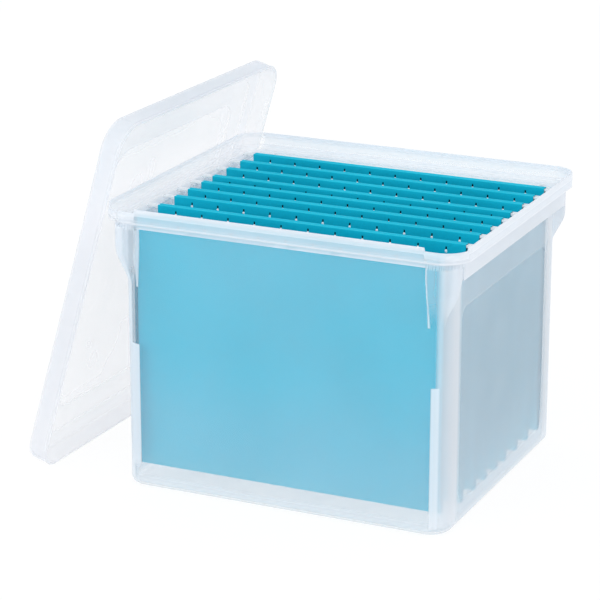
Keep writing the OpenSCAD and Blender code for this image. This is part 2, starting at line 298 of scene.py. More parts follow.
# Tub plastic: haze as a depth, places in metres
plasticSpec = {
    "clear": (0.87, 0.92, 0.98),
    "milky": (0.93, 0.95, 0.99),
    "roughness": 0.16,
    "grainScale": 700.0,
    "grainSpread": 0.02,
    "ior": 1.49,
    "wallHaze": 0.13,
    "sideHaze": 0.30,
    "sideFrom": 0.150,
    "sideTo": 0.1555,
    "leftShare": 0.2,
    "leftLip": 0.3,
    "ledgeBand": (0.245, 0.247),
    "extraHazeDepth": 0.6,
    "lowHaze": 0.08,
    "lowBand": (0.15, 0.01),
    "panelClear": 0.58,
    "floorClear": 0.35,
    "floorBand": (0.003, 0.005),
    "cloudScale": 9.0,
    "cloudSpread": 0.1,
    "bumpScale": 18.0,
    "bumpStrength": 0.05,
    "bumpDepth": 0.0001,
    "through": 0.3,
}


# Depth: the wall's haze, more on the sides, less in the panels, plus the extra haze flag's share (ribs,
# edges, corners and the painted reflection and highlight strips) and a little more low on the front and
# rear, then thinned by smooth steps on the floor and the left lip
def makeTubPlastic(spec):
    material, tree, shader = newMaterial("tubPlastic")
    place = objectPlace(tree)
    x, _, z = splitPlace(tree, place)
    extraHazes = addFlag(tree, "extraHaze")
    right = addRange(tree, x, spec["sideFrom"], spec["sideTo"])
    left = addRange(tree, x, -spec["sideFrom"], -spec["sideTo"])
    sides = addMath(tree, "ADD", right, addMath(tree, "MULTIPLY", left, spec["leftShare"]))
    sideExtra = addMath(tree, "MULTIPLY", sides, spec["sideHaze"] - spec["wallHaze"])
    depth = addMath(tree, "ADD", spec["wallHaze"], sideExtra)
    depth = thinnedBy(tree, depth, addFlag(tree, "panel"), spec["panelClear"])
    # The extra haze flag holds real ribs and edges plus the painted reflection and highlight strips
    depth = addMath(tree, "ADD", depth, addMath(tree, "MULTIPLY", extraHazes, spec["extraHazeDepth"]))
    lowShare = addRange(tree, z, *spec["lowBand"], 0.0, spec["lowHaze"])
    lowExtra = addMath(tree, "MULTIPLY", addMath(tree, "SUBTRACT", 1.0, sides), lowShare)
    depth = addMath(tree, "ADD", depth, lowExtra)
    depth = addMath(tree, "MULTIPLY", depth, addRange(tree, z, *spec["floorBand"], spec["floorClear"], 1.0))
    leftLip = addMath(tree, "MULTIPLY", left, addRange(tree, z, *spec["ledgeBand"]))
    depth = thinnedBy(tree, depth, leftLip, spec["leftLip"])
    finishPlastic(spec, tree, shader, place, depth, extraHazes)
    return material


tubPlastic = makeTubPlastic(plasticSpec)

# Lid plastic
lidPlasticSpec = {
    "clear": (0.95, 0.955, 1.0),
    "milky": (0.97, 0.975, 1.0),
    "roughness": 0.18,
    "grainScale": 600.0,
    "grainSpread": 0.02,
    "ior": 1.49,
    "haze": 0.14,
    "edgeHaze": 0.4,
    "cloudScale": 12.0,
    "cloudSpread": 0.12,
    "bumpScale": 16.0,
    "bumpStrength": 0.05,
    "bumpDepth": 0.0001,
    "through": 0.5,
}


# Depth: haze + edge haze x the extra haze flag
def makeLidPlastic(spec):
    material, tree, shader = newMaterial("lidPlastic")
    place = objectPlace(tree)
    edge = addFlag(tree, "extraHaze")
    depth = addMath(tree, "ADD", spec["haze"], addMath(tree, "MULTIPLY", edge, spec["edgeHaze"]))
    finishPlastic(spec, tree, shader, place, depth, edge)
    return material


lidPlastic = makeLidPlastic(lidPlasticSpec)

# Card: dyed fibres, with painted light on the ends where the hazy side walls spread light, a painted
# highlight on the top fold, painted shade inside, and darker cut ends.
# Bands in metres.
cardSpec = {
    "colour": (0.001, 0.45, 0.62),
    "pale": (0.003, 0.52, 0.71),
    # Painted light for the card ends behind the front folder
    "ends": (0.10, 0.74, 0.92),
    "cut": (0.001, 0.20, 0.30),
    # Painted shade, near black, inside the pockets
    "inside": (0.002, 0.012, 0.020),
    "punched": (0.95, 0.97, 0.97),
    # Painted highlight along the top fold
    "foldHighlight": (0.03, 0.62, 0.80),
    "roughness": 0.62,
    "roughSpread": 0.12,
    "gloss": 0.12,
    "fibreStretch": (1.0, 1.0, 0.35),
    "fibreScale": 900.0,
    "fibreTone": 0.45,
    "cloudScale": 14.0,
    "cloudTone": 0.4,
    "foldBand": (0.2514, 0.2520),
    "foldShare": 0.4,
    "middle": 0.0022,
    "endLightBand": (0.124, 0.143),
    "endLightShare": 0.85,
    "behindFront": (-0.118, -0.114),
    "beforeRear": (0.1175, 0.1160),
    "underRail": (0.244, 0.236),
    "cutBand": (0.14915, 0.14922),
    "pocketShadeBand": (0.228, 0.240),
    "bumpStrength": 0.15,
    "bumpDepth": 0.0002,
}


# Fibre and cloud noise mix two dyes. Smooth steps in x, y and z mix in the fold's painted highlight, the
# painted light on the ends behind the front folder, the cut ends and the painted shade inside, and a flag
# the punched lips.
def makeCard(spec):
    material, tree, shader = newMaterial("folderCard")
    place = objectPlace(tree)
    x, y, z = splitPlace(tree, place)
    stretch = tree.nodes.new("ShaderNodeMapping")
    stretch.inputs["Scale"].default_value = spec["fibreStretch"]
    tree.links.new(place, stretch.inputs["Vector"])
    fibre = addNoise(tree, stretch.outputs["Vector"], spec["fibreScale"], 4.0, 0.6)
    cloud = addNoise(tree, place, spec["cloudScale"], 3.0)
    tone = addMath(tree, "ADD", addRange(tree, fibre, *grainRange, 0.0, spec["fibreTone"]),
                   addRange(tree, cloud, *grainRange, 0.0, spec["cloudTone"]))
    base = addColourMix(tree, tone, spec["colour"], spec["pale"])
    # A painted highlight along the top fold
    foldHighlight = addRange(tree, z, *spec["foldBand"], 0.0, spec["foldShare"])
    base = addColourMix(tree, foldHighlight, base, spec["foldHighlight"])
    fromMiddle = addMath(tree, "ABSOLUTE", addMath(tree, "SUBTRACT", x, spec["middle"]))
    # Painted light on the ends of the folders behind the front one, where the hazy side walls spread light
    endLightMask = addRange(tree, fromMiddle, *spec["endLightBand"], 0.0, spec["endLightShare"])
    for value, band in ((y, "behindFront"), (y, "beforeRear"), (z, "underRail")):
        endLightMask = addMath(tree, "MULTIPLY", endLightMask, addRange(tree, value, *spec[band]))
    base = addColourMix(tree, endLightMask, base, spec["ends"])
    base = addColourMix(tree, addRange(tree, fromMiddle, *spec["cutBand"]), base, spec["cut"])
    # Painted shade, near black, on the pocket rows inside the folder
    pocketShade = addMath(tree, "MULTIPLY", addFlag(tree, "inside"), addRange(tree, z, *spec["pocketShadeBand"]))
    base = addColourMix(tree, pocketShade, base, spec["inside"])
    base = addColourMix(tree, addFlag(tree, "punched"), base, spec["punched"])
    tree.links.new(base, shader.inputs["Base Color"])
    addRoughness(tree, fibre, grainRange, spec["roughness"], spec["roughSpread"], shader)
    shader.inputs["Specular IOR Level"].default_value = spec["gloss"]
    addBump(tree, fibre, spec["bumpStrength"], spec["bumpDepth"], shader)
    return material


cardPaper = makeCard(cardSpec)

# Strip coat: white, a little worn
coatSpec = {
    "colour": (0.90, 0.92, 0.94),
    "worn": (0.80, 0.83, 0.86),
    "wearScale": 160.0,
    "wearBand": (0.5, 0.75),
    "roughness": 0.35,
    "roughSpread": 0.2,
    "roughBand": (0.3, 0.8),
    "bumpStrength": 0.1,
    "bumpDepth": 0.0002,
}


# White to worn by a smooth step of the wear noise, which also drives the roughness and the bump
def makeCoat(spec):
    material, tree, shader = newMaterial("stripCoat")
    wear = addNoise(tree, objectPlace(tree), spec["wearScale"], 3.0)
    colour = addColourMix(tree, addRange(tree, wear, *spec["wearBand"]), spec["colour"], spec["worn"])
    tree.links.new(colour, shader.inputs["Base Color"])
    addRoughness(tree, wear, spec["roughBand"], spec["roughness"], spec["roughSpread"], shader)
    addBump(tree, wear, spec["bumpStrength"], spec["bumpDepth"], shader)
    return material


stripCoat = makeCoat(coatSpec)
print("materials made")

# Tub: one closed shell, worked out on a grid of sections round its outline. Lengths in millimetres,
# bends in degrees from the front's or rear's outward direction, hazes as shares of the extra haze depth.
tubSize = {
    "halfX": 157.0,
    "halfY": 142.0,
    "corner": 20.0,
    "cornerSteps": 96,
    "wall": 2.2,
    "baseEdge": 6.0,
    "railX": 167.2,
    "railY": 147.5,
    "railCorner": 21.5,
    "rimX": 173.0,
    "rimY": 150.0,
    "rimCorner": 24.0,
    "top": 265.0,
    "cornerDrop": 3.6,
    "rebate": 0.7,
    "ledgeTop": 249.0,
    "ledgeLow": 247.3,
    "ledgeUnder": 246.8,
    "lipEdge": 251.5,
    "lipRows": (1.1, 2.2),
    "lipFloor": 253.7,
    "lipBand": 5.5,
    "skirtDepth": 12.6,
    "flareHead": 236.0,
    "flareTurn": 220.0,
    "flareFoot": 193.0,
    "frontEnd": 2.0,
    "frontDraw": 7.0,
    "frontSoft": 1.4,
    "sideEnd": 72.5,
    "sideDraw": 24.0,
    "sideCurve": 1.2,
    "sideSoft": 2.2,
    "panelHalf": 107.0,
    "panelLow": 20.0,
    "panelHigh": 201.0,
    "panelCorner": 12.0,
    "panelSink": 0.9,
    "edgeRound": 0.7,
    "drawIn": (0.97, 0.8, 0.5, 0.2, 0.0),
}
tubHaze = {
    "middle": 0.2,
    "baseTurn": 0.35,
    "floorTurn": 0.3,
    "flare": 0.3,
    # Flare end lines: real edges, made whiter as a painted highlight
    "flareEndHighlight": 1.6,
    "flareLineHighlight": 2.4,
    "lineWidth": 2.4,
    # Corner haze: hazier plastic round the corners, raised further as painted reflection
    "corner": 1.5,
    "cornerBend": (24, 40),
    "sideMargin": (110, 113),
    # Painted reflection strips of a softbox on the two front corners, as whiter haze
    "paintedReflection": 3.4,
    "paintedReflectionTop": 137.0,
    "paintedReflectionFoot": (18, 28),
    "rightPaintedReflection": (15, 20, 34, 40),
    "leftPaintedReflection": (4, 9, 50, 62),
    # Left front corner above the reflection strips: whiter haze, painted light over the shaded inside
    "leftCorner": 2.0,
    "leftBend": (28, 42),
    "section": (0.3, 0.5, 0.8, 0.9, 0.5, 1.0, 1.0, 0.6, 0.6, 1.5,
                1.9, 1.7, 0.9, 0.4, 0.3, 0.6, 0.9, 1.1, 0.5),
}


# Points round the tub's outline with outward directions: straights with y or x at the half size, and
# corners at centre + r (cos a, sin a) in equal angle steps. The sides have close columns at the
# panel's ends, the front and rear have equal ones.
def tubOutline(size):
    farX = size["halfX"] - size["corner"]
    farY = size["halfY"] - size["corner"]
    along = np.linspace(-farX, farX, 27)[1:-1]
    half = size["panelHalf"]
    fine = np.concatenate([np.arange(half - 12, half - 1.5, 1.5), np.arange(half - 1.5, half + 1.6, 0.5),
                           [half + 4, half + 8, half + 12]])
    side = np.concatenate([-fine[::-1], np.linspace(-half + 12, half - 12, 11)[1:-1], fine])
    turn = np.linspace(0, np.pi / 2, size["cornerSteps"] + 1)
    parts = []
    corners = ((1, -1, -np.pi / 2), (1, 1, 0.0), (-1, 1, np.pi / 2), (-1, -1, np.pi))
    straights = (
        (along, along * 0 - size["halfY"], 0, -1),
        (side * 0 + size["halfX"], side, 1, 0),
        (-along, along * 0 + size["halfY"], 0, 1),
        (side * 0 - size["halfX"], -side, -1, 0),
    )
    for (px, py, dx, dy), (sx, sy, start) in zip(straights, corners):
        parts.append(np.stack([px, py, px * 0 + dx, px * 0 + dy], 1))
        c, s = np.cos(start + turn), np.sin(start + turn)
        parts.append(np.stack([sx * farX + size["corner"] * c, sy * farY + size["corner"] * s, c, s], 1))
    return np.concatenate(parts)


# How far along its outward direction each outline point meets a larger rounded rectangle, found by
# halving the span between a point inside and one outside
def reachTo(outline, halfX, halfY, radius):
    low = np.full(len(outline), -12.0)
    high = np.full(len(outline), 40.0)
    for _ in range(40):
        middle = (low + high) / 2
        x = outline[:, 0] + outline[:, 2] * middle
        y = outline[:, 1] + outline[:, 3] * middle
        outside = roundedDistance(x, y, halfX, halfY, radius) > 0
        high = np.where(outside, middle, high)
        low = np.where(outside, low, middle)
    return low


# The outward direction's angle from Y: 0 on the front and rear, 90 on the sides
def outlineBend(outline):
    return np.degrees(np.arctan2(np.abs(outline[:, 2]), np.abs(outline[:, 3])))


# The bends where the flare ends at height z: both draw in towards the corner by their draw times the
# fall, the share of the way from the flare's head to its foot, the side's fall to its own power
def flareEnds(size, z):
    fall = np.clip((size["flareHead"] - z) / (size["flareHead"] - size["flareFoot"]), 0, 1)
    frontEnd = size["frontEnd"] + size["frontDraw"] * fall
    sideEnd = size["sideEnd"] - size["sideDraw"] * fall ** size["sideCurve"]
    return frontEnd, sideEnd


# How much of the flare shows at height z: 1 round the corners, 0 past its two ends, smooth steps between
def cornerShare(outline, size, z):
    bend = outlineBend(outline)
    straight = (np.abs(outline[:, 2]) < 1e-6) | (np.abs(outline[:, 3]) < 1e-6)
    bend = np.where(straight, np.where(np.abs(outline[:, 3]) > 0.5, 0.0, 90.0), bend)
    frontEnd, sideEnd = flareEnds(size, z)
    fromFront = smoothStep(frontEnd - size["frontSoft"], frontEnd + size["frontSoft"], bend)
    return fromFront * (1 - smoothStep(sideEnd - size["sideSoft"], sideEnd + size["sideSoft"], bend))


# Haze of the tub's outer wall at height z: the flare, the bright lines at its ends (real edges, whitened as
# a painted highlight), the corners (hazier plastic, whitened further as painted reflection) and painted
# reflection strips of a softbox on the two front corners, each a product of smooth steps in bend and height
def wallHaze(outline, size, haze, z):
    bend = outlineBend(outline)
    front = outline[:, 3] < 0
    right = front * (outline[:, 2] > 0)
    left = front * (outline[:, 2] < 0)
    onSide = np.abs(outline[:, 2]) > 0.999
    share = cornerShare(outline, size, z)
    ramp = smoothStep(size["flareFoot"], size["flareTurn"], z)
    # The flare's two ends get extra haze: real edges, made whiter as a painted highlight
    total = haze["flare"] * share * ramp + haze["flareEndHighlight"] * (1 - np.abs(2 * share - 1)) * ramp
    if z > size["flareFoot"] - 2:
        # A thin line at the flare's front end: a real ridge, painted whiter as a highlight
        near = np.exp(-((bend - flareEnds(size, z)[0]) / haze["lineWidth"]) ** 2)
        total = total + haze["flareLineHighlight"] * near * (1 - onSide) * (bend > 0.01)
    # Corners and side margins: hazier plastic, whiter still as painted reflection of the bright
    # surroundings
    cornerPart = smoothStep(*haze["cornerBend"], bend) * (bend < 89.9)
    marginPart = onSide * smoothStep(*haze["sideMargin"], np.abs(outline[:, 1]))
    total = total + haze["corner"] * np.maximum(cornerPart, marginPart)
    # Above that height the left front corner gets extra haze, painted light over the shaded view into the
    # tub
    if z > haze["paintedReflectionTop"]:
        return total + haze["leftCorner"] * left * smoothStep(*haze["leftBend"], bend)
    # Below that height both front corners get a strip of painted reflection of the softbox, as whiter haze
    a, b, c, d = haze["rightPaintedReflection"]
    rightReflectionMask = right * smoothStep(a, b, bend) * (1 - smoothStep(c, d, bend))
    a, b, c, d = haze["leftPaintedReflection"]
    leftReflectionMask = left * smoothStep(a, b, bend) * (1 - smoothStep(c, d, bend))
    return total + haze["paintedReflection"] * (rightReflectionMask + leftReflectionMask * smoothStep(*haze["paintedReflectionFoot"], z))


# All rows of the tub's section as (reach, height) pairs for each outline point, from the middle of
# the underside, up the outside, over the lip and down the inside. The base edges are quarter circles,
# the flare is the rail's reach x a smooth ramp in height x the corner share, and the panel is sunk by
# a smooth step of the distance to its rounded rectangle.
def tubRows(size, haze, outline):
    wall = size["wall"]
    rail = reachTo(outline, size["railX"], size["railY"], size["railCorner"])
    rim = reachTo(outline, size["rimX"], size["rimY"], size["rimCorner"])
    zero = rail * 0
    panelMiddle = (size["panelLow"] + size["panelHigh"]) / 2
    panelTall = (size["panelHigh"] - size["panelLow"]) / 2
    onSide = np.abs(outline[:, 2]) > 0.999
    rows = []
    extraHazes = []
    panels = []

    # Adds one row of the section with its two flags
    def put(reach, height, extraHaze, panel=None):
        rows.append(np.stack([reach, height + zero], 1))
        extraHazes.append(extraHaze + zero)
        panels.append(zero if panel is None else panel)

    # The rail's reach x a smooth ramp in height x the corner share
    def flareReach(z):
        ramp = smoothStep(size["flareFoot"] - 3, size["flareTurn"] + 5, z + zero)
        return rail * ramp * cornerShare(outline, size, z)

    for a in np.linspace(0, np.pi / 2, 7):
        put(zero - size["baseEdge"] * (1 - np.sin(a)), size["baseEdge"] * (1 - np.cos(a)), haze["baseTurn"])
    # Rows stand close at the panel's lower end, at the painted reflection's top and along the flare
    heights = np.concatenate([np.arange(12, 18, 3), np.arange(18, 34, 1.0), np.arange(40, 136, 12),
                              [136.5, 137.5, 150, 162, 174, 184],
                              np.arange(188, 205, 1.0), np.arange(206, 246, 1.6)])
    for z in heights:
        away = roundedDistance(outline[:, 1], z - panelMiddle, size["panelHalf"], panelTall,
                               size["panelCorner"])
        panel = np.where(onSide, 1 - smoothStep(-0.9, 0.9, away), 0)
        put(flareReach(z) - size["panelSink"] * panel, z, wallHaze(outline, size, haze, z), panel)

    share = cornerShare(outline, size, size["ledgeUnder"])
    skirt = smoothStep(0.4, 0.9, (1 - share)) * (np.abs(outline[:, 2]) > np.abs(outline[:, 3]))
    lipTop = size["top"] - size["cornerDrop"] * (outline[:, 1] < 0) * smoothStep(0.2, 0.8, share)
    shoulder = np.minimum(lipTop, size["top"] - size["cornerDrop"])
    under = size["ledgeUnder"] + zero
    skirtLow = size["ledgeUnder"] - size["skirtDepth"] * skirt
    lipEdge = size["lipEdge"] + zero
    inner = rail - wall * skirt
    rebate = rim - wall + size["rebate"]
    keys = [
        (rail * share, under), (inner, under), (inner, skirtLow), (rail, skirtLow), (rail, lipEdge),
        (rim, lipEdge), (rim, lipEdge + size["lipRows"][0]), (rim, lipEdge + size["lipRows"][1]),
        (rim, lipTop - size["lipBand"] - 1), (rim, lipTop - size["lipBand"]), (rim, lipTop),
        (rebate, lipTop), (rebate, shoulder), (rim - wall, shoulder), (rim - wall, size["lipFloor"] + zero),
        (rail - wall, size["lipFloor"] + zero), (rail - wall, size["ledgeTop"] + zero),
        (zero - wall, size["ledgeTop"] + zero), (zero - wall, size["ledgeLow"] + zero),
    ]
    softened = softenedRows([np.stack(k, 1) for k in keys], size["edgeRound"])
    for row, extraHaze in zip(softened, softenedValues(haze["section"])):
        rows.append(row)
        extraHazes.append(extraHaze + zero)
        panels.append(zero)

    for z in heights[::-2]:
        put(flareReach(z) - wall, z, 0.0)
    inside = size["baseEdge"] - wall
    for a in np.linspace(0, np.pi / 2, 6):
        put(zero - wall - inside * (1 - np.cos(a)), wall + inside * (1 - np.sin(a)), haze["floorTurn"])
    return rows, extraHazes, panels


# The tub's grid: outline point + direction x reach at each height, with the underside and the floor
# drawn in to their middles by shrinking the first and the last outline towards the centre
def makeTub(size, haze, material):
    outline = tubOutline(size)
    rows, extraHazes, panels = tubRows(size, haze, outline)
    grid = [np.column_stack([outline[:, :2] + outline[:, 2:] * row[:, :1], row[:, 1]]) for row in rows]
    underside = [grid[0] * [factor, factor, 1] for factor in size["drawIn"][::-1]]
    floor = [grid[-1] * [factor, factor, 1] for factor in size["drawIn"]]
    grid = underside + grid + floor
    plain = [np.zeros(len(outline))] * len(size["drawIn"])
    middle = [np.full(len(outline), haze["middle"])] * len(size["drawIn"])
    flags = {"extraHaze": np.concatenate(middle + extraHazes + middle), "panel": np.concatenate(plain + panels + plain)}
    faces = gridFaces(len(grid), len(outline))
    return makePiece("tub_shell", np.concatenate(grid), faces, material, flags=flags)


tubShell = makeTub(tubSize, tubHaze, tubPlastic)
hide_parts("tub")
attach(tubShell, "tub")
print("tub made,", len(tubShell.data.polygons), "faces")

# Lid: a closed shell round its own middle, then leaned and turned to its place. Lean and turn in degrees.
lidSize = {
    "halfX": 175.6,
    "halfY": 152.6,
    "corner": 26.6,
    "wall": 1.8,
    "depth": 20.0,
    "edge": 4.0,
    "bandStep": 0.45,
    "bandHigh": 2.0,
    "bandTop": 2.6,
    "innerBand": 2.4,
    "panelX": 159.0,
    "panelY": 136.0,
    "panelCorner": 22.0,
    "rise": 1.5,
    "slope": 0.6,
    "band": 24.0,
    "stepRound": 0.6,
    "cornerSteps": 22,
    "sideSteps": 26,
    "drawIn": (0.9, 0.6, 0.3, 0.0),
    "sharpAngle": 40.0,
    "lean": 16.0,
    "turn": 1.75,
    "foot": -235.204,
    "along": 1.0,
}
lidHaze = {
    "flat": 0.0,
    "slope": 0.25,
    "panelBand": 0.1,
    "innerTurn": 0.3,
    "skirt": 0.4,
    "freeEdge": 1.0,
    "band": 0.8,
    "outerTurn": 0.45,
    "outerStep": 0.2,
}


# A rounded rectangle by corner centre + r (cos a, sin a), its straights in equal steps, the same
# number of points for every size
def roundedRing(halfX, halfY, radius, cornerSteps, sideSteps):
    turn = np.linspace(0, np.pi / 2, cornerSteps + 1)
    share = np.linspace(1, -1, sideSteps + 1)[1:-1]
    ring = []
    for index, (sx, sy) in enumerate(((1, 1), (-1, 1), (-1, -1), (1, -1))):
        angle = index * np.pi / 2 + turn
        ring.append(np.stack([sx * (halfX - radius) + radius * np.cos(angle),
                              sy * (halfY - radius) + radius * np.sin(angle)], 1))
        if index % 2 == 0:
            ring.append(np.stack([sx * share * (halfX - radius), sy * halfY + share * 0], 1))
        else:
            ring.append(np.stack([sx * halfX + share * 0, sy * share * (halfY - radius)], 1))
    return np.concatenate(ring)


# The lid's keys as (halfX, halfY, corner, height, haze) from the underside's middle, out and down the
# skirt, round its free edge, up the outside and back over the raised panel. The panel is two steps of
# one rise each, a band apart, and both skirt edges are quarter circles.
def lidKeys(size, haze):
    wall, depth, rise, band, slope = (size[k] for k in ("wall", "depth", "rise", "band", "slope"))
    inner = depth - wall

    # A key on the skirt's outline, grown by so much
    def rimKey(grow, height, shade):
        return size["halfX"] + grow, size["halfY"] + grow, size["corner"] + grow, height, haze[shade]

    # A key on the raised panel's outline, its corner grown by its own amount
    def panelKey(grow, cornerGrow, height, shade):
        corner = size["panelCorner"] + cornerGrow
        return size["panelX"] + grow, size["panelY"] + grow, corner, height, haze[shade]

    keys = [
        panelKey(-band - wall, -wall, inner + 2 * rise, "flat"),
        panelKey(-band - wall + slope, -wall, inner + rise, "slope"),
        panelKey(-wall, -wall, inner + rise, "panelBand"),
        panelKey(-wall + slope, -wall, inner, "slope"),
    ]
    lower = size["edge"] - wall
    for a in np.linspace(0, np.pi / 2, 5):
        keys.append(rimKey(-wall - lower * (1 - np.sin(a)), inner - lower * (1 - np.cos(a)), "innerTurn"))
    keys += [
        rimKey(-wall, size["innerBand"], "skirt"), rimKey(-wall, 0.0, "freeEdge"),
        rimKey(0, 0.0, "freeEdge"), rimKey(0, size["bandHigh"], "band"),
        rimKey(-size["bandStep"], size["bandTop"], "skirt"),
    ]
    upper = size["edge"] - size["bandStep"]
    for a in np.linspace(0, np.pi / 2, 6):
        grow = -size["bandStep"] - upper * (1 - np.cos(a))
        keys.append(rimKey(grow, depth - size["edge"] * (1 - np.sin(a)), "outerTurn"))
    keys += [
        panelKey(slope, 0, depth, "outerStep"), panelKey(0, 0, depth + rise, "outerStep"),
        panelKey(slope - band, 0, depth + rise, "panelBand"),
        panelKey(-band, 0, depth + 2 * rise, "panelBand"),
    ]
    return keys


# The lid flat at the origin, its left edge moved to x = 0, then turned by lean - 90 about Y and by
# -turn about Z, and set on its foot
def lidPlaced(points, size):
    x = points[:, 0] + size["halfX"]
    y = points[:, 1]
    z = points[:, 2]
    lean = math.radians(size["lean"] - 90)
    turn = math.radians(-size["turn"])
    leanedX = x * math.cos(lean) + z * math.sin(lean)
    leanedZ = z * math.cos(lean) - x * math.sin(lean)
    return np.column_stack([leanedX * math.cos(turn) - y * math.sin(turn) + size["foot"],
                            leanedX * math.sin(turn) + y * math.cos(turn) + size["along"], leanedZ])


# Rings at the keys, softened at every step, with the two flat middles drawn in by shrinking
def makeLid(size, haze, material):
    rings = []
    hazes = []
    for halfX, halfY, radius, height, shade in lidKeys(size, haze):
        ring = roundedRing(halfX, halfY, radius, size["cornerSteps"], size["sideSteps"])
        rings.append(np.column_stack([ring, np.full(len(ring), height)]))
        hazes.append(shade)
    rings = softenedRows(rings, size["stepRound"])
    underside = [rings[0] * [factor, factor, 1] for factor in size["drawIn"][::-1]]
    top = [rings[-1] * [factor, factor, 1] for factor in size["drawIn"]]
    rings = underside + rings + top
    plain = [haze["flat"]] * len(size["drawIn"])
    count = len(rings[0])
    flags = {"extraHaze": np.repeat(np.array(plain + softenedValues(hazes) + plain), count)}
    points = lidPlaced(np.concatenate(rings), size)
    faces = gridFaces(len(rings), count)
    return makePiece("lid_shell", points, faces, material, sharpAngle=size["sharpAngle"], flags=flags)


lidShell = makeLid(lidSize, lidHaze, lidPlastic)
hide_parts("lid")
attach(lidShell, "lid")
print("lid made,", len(lidShell.data.polygons), "faces")

# Folders: each a folded card on two hanging strips
folderSize = {
    "width": 298.5,
    "top": 252.2,
    "bottom": 12.2,
    "frontBottom": 16.4,
    "sheet": 0.5,
    "flapHalf": 3.4,
    "foldHalf": 1.4,
    "foldRise": 14.0,
    "belly": 1.6,
    "bellyPower": 0.75,
    "slotTop": 248.4,
    "slotHeight": 5.0,
    "slotWidth": 1.5,
    "slotCount": 11,
    "slotMargin": 18.25,
    "hemInner": 0.6,
    "hemOuter": 2.8,
    "hemLower": 248.9,
    "hemMeets": 244.5,
    "hemEnd": 238.5,
    "wave": 0.35,
    "waveLength": 37.0,
    "waveShift": 1.7,
    "lipSpread": 0.2,
    "lipShape": ((0.1, -0.3), (0.6, 1.5), (-0.35, 2.4), (-0.45, -0.1)),
    "sharpAngle": 14.0,
    "mergeGap": 0.002,
}
folderPlaces = {
    "first": -123.5,
    "nudge": (0, 9.1, 10.6, 6.9, 3.6, -3.9, -4.9, -5.9, -7.1),
    "side": 2.2,
    "frontSide": -1.0,
}
stripSize = {
    "length": 322.5,
    "thickness": 1.6,
    "low": 249.0,
    "high": 251.6,
    "offset": 2.0,
    "notchPlace": 154.25,
    "notchRows": (-2.3, -1.75, -1.3, 0, 1.3, 1.75, 2.3),
    "notchEdge": (1.2, 1.9),
    "notchDepth": 0.9,
    "endRound": 1.6,
    "endRows": (1.6, 0.9, 0.35, 0.08, 0),
    "endLeast": 0.0025,
    "middleHalf": 140,
    "middleRows": 9,
    "around": 16,
    "roundPower": 0.45,
    "sharpAngle": 50.0,
    "mergeGap": 0.001,
}


# Where a folder hangs: first + index x pitch + its nudge along Y, and its side shift along X
def folderPlace(index):
    pitch = -2 * folderPlaces["first"] / (len(folderPlaces["nudge"]) - 1)
    side = folderPlaces["frontSide"] if index == 0 else folderPlaces["side"]
    return [side, folderPlaces["first"] + index * pitch + folderPlaces["nudge"][index], 0]


# Half thickness of the card a share of the way up: the fold opens as a square root, and the belly is
# a sine of the share to its power
def cardSide(size, bottom, share):
    rise = np.minimum(1, share * (size["top"] - bottom) / size["foldRise"])
    opened = (size["flapHalf"] - size["foldHalf"]) * np.sqrt(rise)
    return size["foldHalf"] + opened + size["belly"] * np.sin(np.pi * share ** size["bellyPower"]) * rise


# Right half of the section as (y, z), outer face up, hem down and up, inner face down, with the rows
# that bound the tab slots and a 1 on the rows inside the folder, where the card gets painted shade
def cardSection(size, bottom):
    height = size["top"] - bottom
    slotLow = size["slotTop"] - size["slotHeight"]
    share = np.concatenate([
        [0, 0.003, 0.008, 0.016, 0.03, 0.05, 0.08], np.linspace(0.13, 0.93, 9),
        [(slotLow - bottom) / height, (size["slotTop"] - bottom) / height, 0.993]])
    sheet = size["sheet"]
    side = cardSide(size, bottom, share)
    outer = np.column_stack([side, bottom + share * height])
    inner = np.column_stack([side - sheet, bottom + sheet * (1 - share) + share * height])
    inner[-3:, 1] = outer[-3:, 1]
    top, half = size["top"], size["flapHalf"]
    hemInner, hemOuter = size["hemInner"], size["hemOuter"]
    over = np.array([[half - 0.15, top - 0.45], [half - 0.6, top],
                     [hemInner + 0.5, top], [hemInner, top - 0.5]])
    hem = np.array([
        [hemInner, size["hemLower"] - 0.25], [hemOuter - sheet, size["hemMeets"]],
        [hemOuter - sheet, size["hemEnd"]], [hemOuter, size["hemEnd"]],
        [hemOuter, size["hemMeets"] + 0.25], [hemInner + sheet, size["hemLower"]],
        [hemInner + sheet, top - sheet], [half - sheet, top - sheet]])
    right = np.concatenate([outer, over, hem, inner[::-1]])
    low = len(share) - 3
    pocket = np.zeros(len(right))
    pocket[len(outer) + len(over) + 4:len(right) - low] = 1
    innerLow = len(right) - 1 - low
    return right, low, innerLow, pocket


# Places along the card: both edges of every slot and two more between each pair
def cardColumns(size):
    pitch = (size["width"] - 2 * size["slotMargin"]) / (size["slotCount"] - 1)
    middles = (np.arange(size["slotCount"]) - (size["slotCount"] - 1) / 2) * pitch
    edges = np.concatenate([middles - size["slotWidth"] / 2, middles + size["slotWidth"] / 2])
    between = np.concatenate([middles + pitch / 3, middles + 2 * pitch / 3, [middles[0] - pitch / 3]])
    half = size["width"] / 2
    between = between[np.abs(between) < half - 3]
    places = np.sort(np.concatenate([edges, between, [-half, half]]))
    return places, middles


# The four walls of each slot: quads between the edges of its outer and its inner cell
def slotWalls(starts, pairs, count):
    walls = []
    for start in starts:
        for outerColumn, innerColumn in pairs:
            a = start * count + outerColumn
            b = start * count + innerColumn
            ring = [a, a + 1, a + 1 + count, a + count]
            back = [b + 1, b, b + count, b + 1 + count]
            for i in range(4):
                j = (i + 1) % 4
                walls.append([ring[i], back[i], back[j], ring[j]])
    return walls


